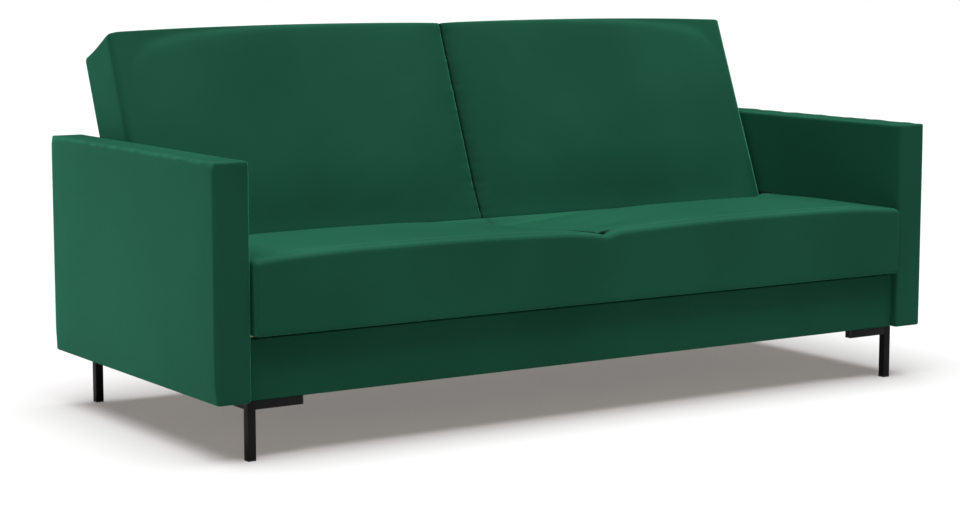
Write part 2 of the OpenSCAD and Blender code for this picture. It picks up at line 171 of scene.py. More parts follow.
def node(tree, kind, links=(), **values):
    """One node. Links are (input, output) pairs, and values set its properties or inputs."""
    made = tree.nodes.new("ShaderNode" + kind)
    for key, value in values.items():
        if hasattr(made, key):
            setattr(made, key, value)
        else:
            made.inputs[key.replace("_", " ")].default_value = value
    for socket, source in links:
        tree.links.new(source, made.inputs[socket])
    return made


def mixed(tree, factor, first, second, blend="MIX"):
    """A colour mix. Each of the three may be a value or another node's output."""
    mix = tree.nodes.new("ShaderNodeMix")
    mix.data_type = "RGBA"
    mix.blend_type = blend
    for socket, source in ((mix.inputs[0], factor), (mix.inputs[6], first), (mix.inputs[7], second)):
        if hasattr(source, "links"):
            tree.links.new(source, socket)
        else:
            socket.default_value = source
    return mix.outputs[2]


def new_group(name, inputs, outputs):
    """An empty node group with named sockets: its tree, its input node and its output node."""
    group = bpy.data.node_groups.new(name, "ShaderNodeTree")
    for socket, kind, value in inputs:
        made = group.interface.new_socket(socket, in_out="INPUT", socket_type="NodeSocket" + kind)
        if value is not None:
            made.default_value = value
    for socket, kind in outputs:
        group.interface.new_socket(socket, in_out="OUTPUT", socket_type="NodeSocket" + kind)
    return group, group.nodes.new("NodeGroupInput"), group.nodes.new("NodeGroupOutput")


def use_group(tree, group, place, **values):
    """The group placed in a material, with its own values."""
    made = tree.nodes.new("ShaderNodeGroup")
    made.node_tree = group
    tree.links.new(place, made.inputs["Place"])
    for socket, value in values.items():
        made.inputs[socket.replace("_", " ")].default_value = value
    return made


def finish_with(tree, principled, group, depth, strength=1.0):
    """Links a group's colour, roughness and height to the shader."""
    bump = node(tree, "Bump", [("Height", group.outputs["Height"])], Distance=depth, Strength=strength)
    tree.links.new(group.outputs["Color"], principled.inputs["Base Color"])
    tree.links.new(group.outputs["Roughness"], principled.inputs["Roughness"])
    tree.links.new(bump.outputs["Normal"], principled.inputs["Normal"])


def paint(piece, material):
    """Gives the whole piece one material."""
    piece.data.materials.clear()
    piece.data.materials.append(material)


# %% [markdown]
# ## Cloth with a pile
# Velvet is a short dense pile. Where a hand has brushed it, patches lean one way and look lighter
# or darker, and close up it is made of fine tufts. One group serves velvet, the flat lining
# cloth and felt: a slow noise for the brushed patches, a fast one for the tufts. The group also
# paints shade into the pile: it reads an attribute that the two cushions carry on their points,
# and there darkens the velvet to about a tenth, as painted shade in their creases and tuck.

# %% Pile group
pile, place_in, pile_out = new_group(
    "cloth_pile",
    [("Place", "Vector", None), ("Shade", "Color", None), ("Light", "Color", None),
     ("Patch Scale", "Float", 3.0), ("Patch Contrast", "Float", 1.0), ("Tuft Scale", "Float", 900.0),
     ("Rough Low", "Float", 0.6), ("Rough High", "Float", 0.9)],
    [("Color", "Color"), ("Roughness", "Float"), ("Height", "Float")])
patches = node(pile, "TexNoise", [("Vector", place_in.outputs["Place"]),
                                  ("Scale", place_in.outputs["Patch Scale"])], Detail=3.0, Roughness=0.45)
tufts = node(pile, "TexNoise", [("Vector", place_in.outputs["Place"]),
                                ("Scale", place_in.outputs["Tuft Scale"])], Detail=2.0, Roughness=0.7)
spread = node(pile, "MapRange", [("Value", patches.outputs["Fac"])], From_Min=0.36, From_Max=0.64)
softened = node(pile, "Math", [(0, spread.outputs["Result"]), (1, place_in.outputs["Patch Contrast"])],
                operation="MULTIPLY")
tint = mixed(pile, softened.outputs["Value"], place_in.outputs["Shade"], place_in.outputs["Light"])
grey = mixed(pile, tufts.outputs["Fac"], (0.86, 0.86, 0.86, 1), (1.12, 1.12, 1.12, 1))
# Painted shade: the attribute darkens the pile to about a tenth, as if shade fell in a crease.
painted_shade = node(pile, "Attribute", attribute_name="crease_shade")
plain_pile = mixed(pile, 1.0, tint, grey, "MULTIPLY")
shaded_pile = mixed(pile, 1.0, plain_pile, (0.10, 0.12, 0.11, 1), "MULTIPLY")
pile.links.new(mixed(pile, painted_shade.outputs["Fac"], plain_pile, shaded_pile), pile_out.inputs["Color"])
rough = node(pile, "MapRange", [("Value", tufts.outputs["Fac"]), ("To Min", place_in.outputs["Rough Low"]),
                                ("To Max", place_in.outputs["Rough High"])])
pile.links.new(rough.outputs["Result"], pile_out.inputs["Roughness"])
pile.links.new(tufts.outputs["Fac"], pile_out.inputs["Height"])


def cloth_material(name, shade, light, depth, sheen, tint=(1, 1, 1, 1), **values):
    """A cloth finish from the pile group."""
    material, tree, principled, place = shader(
        name, Sheen_Weight=sheen, Sheen_Roughness=0.30, Sheen_Tint=tint, Specular_IOR_Level=0.05)
    group = use_group(tree, pile, place, Shade=shade, Light=light, **values)
    finish_with(tree, principled, group, depth)
    return material


velvet = cloth_material("green_velvet", (0.0108, 0.080, 0.0455, 1), (0.0135, 0.096, 0.055, 1), 0.4 * mm,
                        0.95, (0.15, 0.95, 0.57, 1), Patch_Scale=2.6, Tuft_Scale=850.0)
lining = cloth_material("green_lining", (0.010, 0.058, 0.036, 1), (0.014, 0.073, 0.046, 1), 0.15 * mm,
                        0.1, (0.5, 0.9, 0.7, 1), Patch_Scale=9.0, Tuft_Scale=1500.0)
felt = cloth_material("grey_felt", (0.22, 0.22, 0.22, 1), (0.36, 0.36, 0.35, 1), 0.6 * mm,
                      0.2, Patch_Scale=40.0, Tuft_Scale=420.0)
print("cloth finishes:", velvet.name, lining.name, felt.name)

# %% [markdown]
# ## Foam
# Cut foam is pale and full of open cells. A cell pattern gives the pores, and a slow noise the
# yellowing that such foam gets with age.

# %% Foam finish
foam, tree, principled, place = shader("pale_foam", 0.95, Specular_IOR_Level=0.1)
cells = node(tree, "TexVoronoi", [("Vector", place)], Scale=620.0)
age = node(tree, "TexNoise", [("Vector", place)], Scale=5.0, Detail=3.0)
tree.links.new(mixed(tree, age.outputs["Fac"], (0.80, 0.70, 0.42, 1), (0.88, 0.82, 0.60, 1)),
               principled.inputs["Base Color"])
pores = node(tree, "Bump", [("Height", cells.outputs["Distance"])], Distance=0.5 * mm)
tree.links.new(pores.outputs["Normal"], principled.inputs["Normal"])

# %% [markdown]
# ## Wood
# Sawn rails, birch slats, faced board, ply and hardboard are all wood, so they share one grain
# group: long streaks along one direction, wavy growth rings, and fine pores. The streaks run
# along X here, and a Mapping node turns them for pieces that are cut the other way.

# %% Grain group
grain, place_in, grain_out = new_group(
    "wood_grain",
    [("Place", "Vector", None), ("Dark", "Color", None), ("Light", "Color", None),
     ("Ring Scale", "Float", 22.0), ("Ring Bend", "Float", 3.0), ("Rough", "Float", 0.55)],
    [("Color", "Color"), ("Roughness", "Float"), ("Height", "Float")])
stretched = node(grain, "Mapping", [("Vector", place_in.outputs["Place"])])
stretched.inputs["Scale"].default_value = (0.06, 1.0, 1.0)
rings = node(grain, "TexWave", [("Vector", stretched.outputs["Vector"]),
                                ("Scale", place_in.outputs["Ring Scale"]),
                                ("Distortion", place_in.outputs["Ring Bend"])],
             bands_direction="Y", Detail=2.0)
fibres = node(grain, "TexNoise", [("Vector", stretched.outputs["Vector"])], Scale=260.0, Detail=3.0)
streaks = mixed(grain, fibres.outputs["Fac"], place_in.outputs["Dark"], place_in.outputs["Light"])
ring_mask = node(grain, "MapRange", [("Value", rings.outputs["Fac"])], To_Min=0.0, To_Max=0.45)
grain.links.new(mixed(grain, ring_mask.outputs["Result"], streaks, place_in.outputs["Dark"]),
                grain_out.inputs["Color"])
lift = node(grain, "MapRange", [("Value", fibres.outputs["Fac"])], To_Min=-0.08, To_Max=0.12)
wood_rough = node(grain, "Math", [(0, lift.outputs["Result"]), (1, place_in.outputs["Rough"])],
                  operation="ADD")
grain.links.new(wood_rough.outputs["Value"], grain_out.inputs["Roughness"])
grain.links.new(fibres.outputs["Fac"], grain_out.inputs["Height"])


def wood_material(name, dark, light, along="X", depth=0.25 * mm, band_from=None, **values):
    """A wood finish from the grain group, its grain along X, Y or Z, and a dark band above a height."""
    material, tree, principled, place = shader(name, Specular_IOR_Level=0.3)
    turn = {"X": (0, 0, 0), "Y": (0, 0, math.pi / 2), "Z": (0, math.pi / 2, 0)}[along]
    turned = node(tree, "Mapping", [("Vector", place)], Rotation=turn)
    group = use_group(tree, grain, turned.outputs["Vector"], Dark=dark, Light=light, **values)
    finish_with(tree, principled, group, depth)
    if band_from:
        height = node(tree, "SeparateXYZ", [("Vector", place)])
        band = node(tree, "Math", [(0, height.outputs["Z"])], operation="GREATER_THAN")
        band.inputs[1].default_value = band_from
        tree.links.new(mixed(tree, band.outputs["Value"], group.outputs["Color"], (0.012, 0.012, 0.012, 1)),
                       principled.inputs["Base Color"])
    return material


pine_dark, pine_light = (0.42, 0.24, 0.11, 1), (0.72, 0.50, 0.28, 1)
pine = wood_material("sawn_pine", pine_dark, pine_light, Ring_Scale=30.0, Rough=0.7)
pine_across = wood_material("sawn_pine_across", pine_dark, pine_light, "Y", Ring_Scale=30.0, Rough=0.7)
birch = wood_material("lacquered_birch", (0.62, 0.42, 0.22, 1), (0.80, 0.62, 0.38, 1), "Y",
                      0.08 * mm, Ring_Scale=14.0, Ring_Bend=1.5, Rough=0.35)
band_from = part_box("box_side_left")[1].z - 2 * mm
board = wood_material("faced_board", (0.36, 0.21, 0.10, 1), (0.56, 0.37, 0.20, 1), "X", 0.1 * mm, band_from,
                      Ring_Scale=12.0, Ring_Bend=5.0, Rough=0.45)
board_across = wood_material("faced_board_across", (0.36, 0.21, 0.10, 1), (0.56, 0.37, 0.20, 1), "Y",
                             0.1 * mm, band_from, Ring_Scale=12.0, Ring_Bend=5.0, Rough=0.45)
ply = wood_material("birch_ply", (0.60, 0.43, 0.25, 1), (0.76, 0.60, 0.40, 1), depth=0.12 * mm,
                    Ring_Scale=6.0, Ring_Bend=8.0, Rough=0.55)
hardboard = wood_material("brown_hardboard", (0.13, 0.065, 0.03, 1), (0.24, 0.13, 0.065, 1),
                          depth=0.1 * mm, Ring_Scale=60.0, Ring_Bend=14.0, Rough=0.6)
print("wood finishes:", pine.name, birch.name, board.name, ply.name, hardboard.name)

# %% [markdown]
# ## Metal, plastic and rubber
# Powder coat has a fine orange peel, zinc plate is cloudy, and moulded plastic has an even grain.
# One group gives all of them a base colour with slow clouds, a fine surface grain, and roughness
# that follows both.

# %% Coating group
coat, place_in, coat_out = new_group(
    "coating",
    [("Place", "Vector", None), ("Base", "Color", None), ("Clouded", "Color", None),
     ("Cloud Scale", "Float", 25.0), ("Grain Scale", "Float", 900.0), ("Rough", "Float", 0.5)],
    [("Color", "Color"), ("Roughness", "Float"), ("Height", "Float")])
clouds = node(coat, "TexNoise", [("Vector", place_in.outputs["Place"]),
                                 ("Scale", place_in.outputs["Cloud Scale"])], Detail=4.0)
specks = node(coat, "TexNoise", [("Vector", place_in.outputs["Place"]),
                                 ("Scale", place_in.outputs["Grain Scale"])], Detail=1.0)
coat.links.new(mixed(coat, clouds.outputs["Fac"], place_in.outputs["Base"], place_in.outputs["Clouded"]),
               coat_out.inputs["Color"])
uneven = node(coat, "MapRange", [("Value", clouds.outputs["Fac"])], To_Min=-0.10, To_Max=0.10)
coat_rough = node(coat, "Math", [(0, uneven.outputs["Result"]), (1, place_in.outputs["Rough"])],
                  operation="ADD")
coat.links.new(coat_rough.outputs["Value"], coat_out.inputs["Roughness"])
coat.links.new(specks.outputs["Fac"], coat_out.inputs["Height"])


def coated_material(name, base, clouded, metallic, depth=0.05 * mm, gloss=0.5, **values):
    """A metal, plastic or rubber finish from the coating group."""
    material, tree, principled, place = shader(name, Metallic=metallic, Specular_IOR_Level=gloss)
    group = use_group(tree, coat, place, Base=base, Clouded=clouded, **values)
    finish_with(tree, principled, group, depth)
    return material


powder = coated_material("black_powder_coat", (0.0075, 0.0066, 0.0073, 1), (0.0115, 0.0100, 0.0110, 1), 0.0,
                         gloss=0.16, Grain_Scale=1400.0, Rough=0.44)
lacquer = coated_material("black_lacquer", (0.020, 0.020, 0.022, 1), (0.034, 0.034, 0.036, 1), 0.3,
                          0.03 * mm, Rough=0.36)
strip = coated_material("spring_strip", (0.30, 0.32, 0.36, 1), (0.42, 0.43, 0.45, 1), 1.0, 0.02 * mm,
                        Rough=0.32)
zinc = coated_material("zinc_plate", (0.50, 0.51, 0.53, 1), (0.66, 0.67, 0.68, 1), 1.0, 0.02 * mm,
                       Cloud_Scale=160.0, Rough=0.38)
plastic = coated_material("black_plastic", (0.014, 0.014, 0.015, 1), (0.020, 0.020, 0.021, 1), 0.0,
                          0.08 * mm, Grain_Scale=700.0, Rough=0.5)
rubber = coated_material("bumper_rubber", (0.016, 0.016, 0.016, 1), (0.024, 0.023, 0.022, 1), 0.0,
                         0.10 * mm, Rough=0.8)

# %% [markdown]
# ## Finishes on the frame's own nodes
# Nodes whose shape is already right keep it and only get their finish. The lists say which finish
# goes where, and the rails that run from front to rear get their grain turned with them.

# %% Paint the nodes
node_finishes = {
    pine: ["seat_front_rail", "seat_rear_rail", "back_top_rail", "back_lower_rail"],
    pine_across: ["seat_end_rails", "seat_cross_rails", "back_end_rails", "back_cross_rails",
                  "arm_frame_left", "arm_frame_right"],
    hardboard: ["arm_skins_left", "arm_skins_right"],
    birch: ["seat_slats", "back_slats"],
    board: ["box_front_board", "box_rear_board"],
    board_across: ["box_side_left", "box_side_right", "box_divider"],
    ply: ["box_bottom"],
    felt: ["seat_felt", "back_felt"],
    lacquer: ["hinge_plate_left", "hinge_plate_right", "seat_hinge_arm_left", "seat_hinge_arm_right",
              "back_hinge_arm_left", "back_hinge_arm_right"],
    strip: ["click_springs"],
    zinc: ["arm_bolts", "leg_screws", "hinge_plate_bolts", "seat_pivot_rivets", "back_pivot_rivets",
           "seat_arm_screws", "back_arm_screws"],
    plastic: ["leg_end_plugs", "foot_glides", "seat_slat_holders", "back_slat_holders"],
    rubber: ["seat_bumpers", "back_bumpers"],
}
for material, names in node_finishes.items():
    for name in names:
        paint(nodes[name], material)
print("painted", sum(map(len, node_finishes.values())), "nodes")

# %% [markdown]
# ## How a cushion is made
# A sofa cushion is foam under a cover that is stapled to the frame. The foam pushes out, the
# staples and sewn lines hold back, and the crown is what is left between them. So each cushion
# starts as a block with rounded edges, cut into small squares by planes. A cloth simulation blows
# it up with the stapled and sewn points pinned. Planes are used and not a voxel remesh, because
# they keep a cushion's edges as crisp as its cover is cut, and put a row of points exactly on
# the seam.

# %% Cutting tools
def cut_at(piece, axis, places):
    """Cuts the whole piece by planes across an axis."""
    normal = [float(i == axis) for i in range(3)]
    select_only(piece)
    bpy.ops.object.mode_set(mode="EDIT")
    for place in places:
        bpy.ops.mesh.select_all(action="SELECT")
        bpy.ops.mesh.bisect(plane_co=[n * place for n in normal], plane_no=normal)
    done()


def spaced(low, high, step, close=(2, 5, 9, 14)):
    """Places for cuts: every step, and closer beside both ends at these millimetres."""
    close = [c * mm for c in close]
    first, last = low + close[-1], high - close[-1]
    even = np.linspace(first, last, max(2, math.ceil((last - first) / step) + 1))
    return [low + c for c in close[:-1]] + list(even) + [high - c for c in reversed(close[:-1])]


def bevel_where(piece, radius, segments, test):
    """Bevels the edges that pass the test."""
    pick(piece, "edge", test)
    bpy.ops.mesh.bevel(offset=radius, segments=segments, affect="EDGES")
    done()


# %% [markdown]
# ## Swelling
# Real foam stops swelling where it meets a board or an arm, so the movement is limited along each
# axis. A simulation also leaves many small folds that a well stretched cover doesn't have. The
# movement is therefore split in two: the broad part is kept, and only a little of the fine part.
# Only the part straight out of the surface counts, because foam can't pull its cover in.

# %% Swelling tools
SWELL_FRAMES = 20
BROAD_ROUNDS = 70


def smoothed(piece, field, rounds):
    """A vertex field averaged with its neighbours a number of times."""
    ends = np.empty(2 * len(piece.data.edges), dtype=int)
    piece.data.edges.foreach_get("vertices", ends)
    first, second = ends.reshape(-1, 2).T
    size = len(piece.data.vertices)
    count = np.bincount(first, minlength=size) + np.bincount(second, minlength=size)
    for _ in range(rounds):
        total = np.stack([np.bincount(first, field[second, i], size)
                          + np.bincount(second, field[first, i], size) for i in range(3)], axis=1)
        field = 0.4 * field + 0.6 * total / count[:, None]
    return field


def swell(piece, held, reach, folds, pressure=4.0):
    """Blows the piece up with the held points pinned. Reach limits each point's move by axis."""
    before = points(piece)
    sewn = piece.vertex_groups.new(name="sewn")
    sewn.add([int(i) for i in np.flatnonzero(held)], 1.0, "REPLACE")
    select_only(piece)
    cloth = piece.modifiers.new("Cloth", "CLOTH")
    cloth.settings.quality = 4
    cloth.settings.use_pressure = True
    cloth.settings.uniform_pressure_force = pressure
    cloth.settings.effector_weights.gravity = 0
    cloth.settings.vertex_group_mass = sewn.name
    cloth.collision_settings.use_collision = False
    cloth.point_cache.frame_start = 1
    cloth.point_cache.frame_end = SWELL_FRAMES
    for step in range(1, SWELL_FRAMES + 1):
        bpy.context.scene.frame_set(step)
    bpy.ops.object.modifier_apply(modifier=cloth.name)
    bpy.context.scene.frame_set(1)
    piece.vertex_groups.clear()
    moved = points(piece) - before
    print(piece.name, "swelled by up to", round(float(np.abs(moved).max()) / mm, 1), "mm before limits")
    set_points(piece, before)
    outward = np.empty(3 * len(before))
    piece.data.vertices.foreach_get("normal", outward)
    outward = outward.reshape(-1, 3)
    broad = smoothed(piece, moved, BROAD_ROUNDS)
    fine = ((moved - broad) * outward).sum(axis=1)
    limit = np.sqrt(((outward * reach) ** 2).sum(axis=1)).clip(1e-6)
    swollen = limit * np.tanh((broad * outward).sum(axis=1).clip(0) / limit)
    swollen += folds * np.minimum(1, limit / (3 * mm)) * np.tanh(fine / folds)
    swollen[held] = 0
    set_points(piece, before + outward * swollen[:, None])


def paint_crease_shade(piece, amount):
    """Stores painted shade at each point, from 0 to 1: the velvet is darkened there as if shade fell in a
    crease.
    """
    attribute = piece.data.attributes.new("crease_shade", "FLOAT", "POINT")
    attribute.data.foreach_set("value", np.clip(amount, 0, 1).astype(np.float32))


def smooth(piece, angle=60):
    """Smooth shading that keeps edges sharper than the angle."""
    select_only(piece)
    bpy.ops.object.shade_smooth_by_angle(angle=math.radians(angle))


# %% [markdown]
# ## Where the two panels are
# The seat lies flat, so its box can be read as it is. The back is stored leaning, so its points are
# turned down flat about its own hinge first. Both are then made lying flat, in the same way, and
# the back is turned up again at the end.

# %% Panel boxes
fold = joints["back_fold"]
fold_angle = math.radians(fold["range_deg"][1])
to_hinge = Matrix.Translation(Vector(fold["pos_m"]))
raise_back = to_hinge @ Matrix.Rotation(fold_angle, 4, "X") @ to_hinge.inverted()
lower_back = raise_back.inverted()


def flat_box(name):
    """A back node's corners once it is folded down flat."""
    rows = [lower_back @ v.co for v in nodes[name].data.vertices]
    return (Vector(min(p[i] for p in rows) for i in range(3)),
            Vector(max(p[i] for p in rows) for i in range(3)))


seat_low, seat_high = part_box("seat_cover")
back_low, back_high = flat_box("back_cover")
foam_foot = flat_box("back_felt")[1].z - back_low.z
print("seat", [round(v / mm) for v in seat_high - seat_low],
      "back", [round(v / mm) for v in back_high - back_low], "foam starts at", round(foam_foot / mm))

# %% [markdown]
# ## A panel's shape before it swells
# The long edge at the hinge is a quarter round of 25 mm, because the two panels roll past each
# other there with only a few millimetres between them. The far edge is crisper. The foam is cut
# with a crown on each half: the seat's is a round arch, and the back's stays high and drops over
# the last hand's width at the end. The seat also falls a little towards the back.

# %% Panel shaping
GRID = 12 * mm
HINGE_R = 25 * mm
FOOT_R = 6 * mm
COVER = 1.5 * mm
half_width = seat_high.x


def arched(x):
    """0 at the sewn line and at the end, 1 a little past the middle of each half, round between."""
    along = np.abs(x) / half_width
    return 1 - np.where(along < 0.6, (0.6 - along) / 0.6, (along - 0.6) / 0.4).clip(0, 1) ** 2.5


def crowned(x, drop):
    """0 at the sewn line, 1 over most of each half, 0 at the end after a drop of this width."""
    return ramp(np.abs(x), -40 * mm, 0.55 * half_width) * (1 - ramp(np.abs(x), half_width - drop, half_width))


def panel(name, low, high, toward, far_r):
    """A panel lying flat. Its hinge edge is at high.y if toward is -1, at low.y if it is 1."""
    piece = block(name, low, high)
    hinge_y, far_y = (low.y, high.y) if toward > 0 else (high.y, low.y)
    for y, z, radius, segments in ((hinge_y, high.z, HINGE_R, 8), (far_y, high.z, far_r, 5),
                                   (hinge_y, low.z, FOOT_R, 3), (far_y, low.z, FOOT_R, 3)):
        bevel_where(piece, radius, segments,
                    lambda ends: all(abs(p.y - y) < mm and abs(p.z - z) < mm for p in ends))
    bevel_where(piece, COVER, 2, lambda ends: all(p.x < low.x + mm / 10 for p in ends)
                or all(p.x > high.x - mm / 10 for p in ends))
    cut_at(piece, 0, spaced(low.x, high.x, GRID, (4, 8, 13, 20)))
    cut_at(piece, 1, spaced(low.y, high.y, GRID, (9, 16, 25)))
    cut_at(piece, 2, [low.z + FOOT_R, low.z + 20 * mm, low.z + 34 * mm, low.z + 48 * mm, low.z + foam_foot,
                      *np.arange(low.z + foam_foot + GRID, high.z - 25 * mm, GRID),
                      high.z - 20 * mm, high.z - 14 * mm, high.z - 9 * mm, high.z - 4 * mm])
    return piece, toward * (points(piece)[:, 1] - hinge_y)


def round_ends(rows, high, radius):
    """Rounds the panel's upper end edges by drawing the square corner in to a quarter circle."""
    across = np.clip(1 - (high.x - np.abs(rows[:, 0])) / radius, 0, 1)
    above = np.clip(1 - (high.z - rows[:, 2]) / radius, 0, 1)
    corner = (across > 0) & (above > 0)
    scale = np.where(corner, np.maximum(across, above) / np.hypot(across, above).clip(1e-9), 1)
    rows[:, 0] -= np.where(corner, np.sign(rows[:, 0]) * across * (1 - scale) * radius, 0)
    rows[:, 2] -= np.where(corner, above * (1 - scale) * radius, 0)


def panel_reach(rows, away, low, high, x_reach, y_reach, z_reach):
    """How far each point may swell: nothing at the frame and the hinge edge, most in the middle."""
    free = ramp(away, 20 * mm, 200 * mm) * ramp(rows[:, 2], low.z + foam_foot, low.z + foam_foot + 45 * mm)
    inside = 1 - ramp(np.abs(rows[:, 0]), high.x - 180 * mm, high.x)
    return np.stack([free * x_reach, free * y_reach * inside, free * z_reach * inside], axis=1) * mm


# %% [markdown]
# ## The underside of a panel
# The cushion is open below, where it is pulled over the wooden frame. Its flat underside is
# dissolved into one face and pushed up in two steps. The first step goes outwards to the
# thickness of the cover, so that a hem is left all round, and the second goes up to the felt.

# %% Open underside
def open_underside(piece, low, high, hem, side):
    """Makes room for the frame: a hem of this width, then walls this far inside the outer faces."""
    def under(corners):
        return all(p.z < low.z + mm / 2 and low.x + 3 * mm < p.x < high.x - 3 * mm
                   and low.y + hem - mm / 2 < p.y < high.y - hem + mm / 2 for p in corners)

    pick(piece, "face", under)
    bpy.ops.mesh.dissolve_faces()
    bpy.ops.mesh.extrude_region_move(TRANSFORM_OT_translate={"value": (0, 0, 3 * mm)})
    wide = (high - low) - 2 * Vector((side, side, 0))
    middle = (low + high) / 2
    span = Vector((high.x - low.x - 8 * mm, high.y - low.y - 2 * hem, 1))
    bpy.ops.transform.resize(value=(wide.x / span.x, wide.y / span.y, 1), center_override=middle)
    bpy.ops.mesh.extrude_region_move(TRANSFORM_OT_translate={"value": (0, 0, foam_foot - 3 * mm)})
    done()


# %% [markdown]
# ## The seat
# The seat is one panel in one cover. There is no seam over its front face, but a thread goes down
# through the foam at the middle of its top, from the rear to just behind the front edge, where it
# ends in a small deep tuck.

# %% Seat cushion
seat_cushion, away = panel("seat_cushion", seat_low, seat_high, -1, 14 * mm)
rows = points(seat_cushion)
round_ends(rows, seat_high, 12 * mm)
upper = ramp(rows[:, 2], seat_low.z + foam_foot, seat_high.z - 15 * mm)
rows[:, 2] += upper * (13 * mm * ramp(away, 60 * mm, 260 * mm) * arched(rows[:, 0])
                       - 15 * mm * (1 - ramp(away, 20 * mm, 250 * mm))
                       * (1 - 0.75 * ramp(np.abs(rows[:, 0]), half_width - 60 * mm, half_width - 20 * mm)))
set_points(seat_cushion, rows)
TUCK_BEHIND_EDGE = 32 * mm
tuck_y = seat_low.y + TUCK_BEHIND_EDGE
thread = (np.abs(rows[:, 0]) < 7 * mm) & (rows[:, 2] > seat_high.z - 9 * mm) & (rows[:, 1] > tuck_y)
swell(seat_cushion, (rows[:, 2] < seat_low.z + foam_foot) | (away < 16 * mm) | thread,
      panel_reach(rows, away, seat_low, seat_high, 1.2, 4, 5), 0.15 * mm)
cut_at(seat_cushion, 0, [d * s * mm for d in (2.5, 8.5, 15, 21) for s in (-1, 1)])
for distance in (-12, -6, -2, 2, 6, 12, 18):
    pick(seat_cushion, "face", lambda corners: all(abs(p.x) < 160 * mm for p in corners))
    bpy.ops.mesh.bisect(plane_co=(0, tuck_y + distance * mm, 0), plane_no=(0, 1, 0))
    done()
apply(seat_cushion, "SUBSURF", levels=1, render_levels=1)
print("seat cushion has", len(seat_cushion.data.polygons), "faces, top at",
      round(float(points(seat_cushion)[:, 2].max()) / mm), "mm")

# %% [markdown]
# The tuck and its fold are finer than the squares of the swollen cover, so a few more planes were
# cut close to them before the subdivision. The cover steps down in front of the tuck and of the
# fold that runs from it to the left, and the sewn line behind it lies in a wide valley.

# %% Seat tuck and fold
rows = points(seat_cushion)
x, y, z = rows.T
top = ramp(z, seat_high.z - 45 * mm, seat_high.z - 14 * mm)
at_rear = 1 - ramp(y, seat_high.y - 60 * mm, seat_high.y - 12 * mm)
valley = at_rear * ((6 * mm * np.exp(-np.abs(x) / (75 * mm)) + 2 * mm * np.exp(-np.abs(x) / (9 * mm)))
                    * ramp(y, tuck_y - 24 * mm, tuck_y + 20 * mm)
                    + 19 * mm * np.exp(-(x / (220 * mm)) ** 2) * ramp(y, tuck_y + 10 * mm, tuck_y + 160 * mm))
left_line = tuck_y + 15 * mm * (np.clip(-x, 0, None) / (90 * mm)) ** 1.6
right_line = tuck_y + 5 * mm * (np.clip(x, 0, None) / (45 * mm))
off_line = y - np.where(x < 0, left_line, right_line)
fading = np.where(x < 0, 1 - ramp(-x, 40 * mm, 130 * mm), 1 - ramp(x, 8 * mm, 55 * mm))
in_front = 1 - ramp(off_line, -4 * mm, 4 * mm)
step_down = in_front * (3 * mm * fading + 4 * mm * np.exp(-(x / (26 * mm)) ** 2))
tuck = 9 * mm * np.exp(-(x / (9 * mm)) ** 2 - ((y - tuck_y) / (6.5 * mm)) ** 2)
groove = 3.5 * mm * fading * np.exp(-(off_line / (4 * mm)) ** 2)
rows[:, 2] -= top * (valley + tuck + groove + step_down)
set_points(seat_cushion, rows)
# Painted shade: the velvet is darkened in the tuck, along the fold that runs from it and along the sewn line
# behind it.
paint_crease_shade(seat_cushion, top * (1.3 * np.exp(-(x / (11 * mm)) ** 2 - ((y - tuck_y - 2 * mm) / (9 * mm)) ** 2)
                                + 0.8 * fading * np.exp(-((off_line - 1 * mm) / (6 * mm)) ** 2)
                                + 0.3 * np.exp(-np.abs(x) / (4 * mm)) * ramp(y, tuck_y, tuck_y + 10 * mm)))

# %% [markdown]
# ## The back
# The back has a sewn line from top to bottom. The cover is pulled in deep there, so the two halves
# roll in towards it, and small puckers stand across it. Its top edge bows up a little.

# %% Back cushion
back_cushion, away = panel("back_cushion", back_low, back_high, 1, 5 * mm)
length, thickness = back_high.y - back_low.y, back_high.z - back_low.z
rows = points(back_cushion)
round_ends(rows, back_high, 26 * mm)
x = rows[:, 0]
body = ramp(rows[:, 2], back_low.z + foam_foot, back_high.z - 15 * mm) * ramp(away, 15 * mm, 130 * mm)
seam_roll = np.exp(-np.abs(x) / np.where(x > 0, 24 * mm, 30 * mm))
seam_depth = np.where(x > 0, 11 * mm, 7 * mm) * (1 - 0.5 * ramp(away, length - 50 * mm, length))
rows[:, 2] += body * (3 * mm * crowned(x, 220 * mm) - seam_depth * seam_roll)
set_points(back_cushion, rows)
thread = (np.abs(x) < 7 * mm) & (rows[:, 2] > back_high.z - 16 * mm)
swell(back_cushion, (rows[:, 2] < back_low.z + foam_foot) | (away < 16 * mm) | thread,
      panel_reach(rows, away, back_low, back_high, 1.2, 2, 8), 0.15 * mm)
apply(back_cushion, "SUBSURF", levels=1, render_levels=1)
print("back cushion has", len(back_cushion.data.polygons), "faces")

# %% [markdown]
# The sewn line itself is a crease, steep on the left and open on the right, with a pucker at each
# few stitches. Shade is painted into the velvet in the line, and more faintly on its right over
# about two fingers' width. The far edge bows over the whole back and over each half.

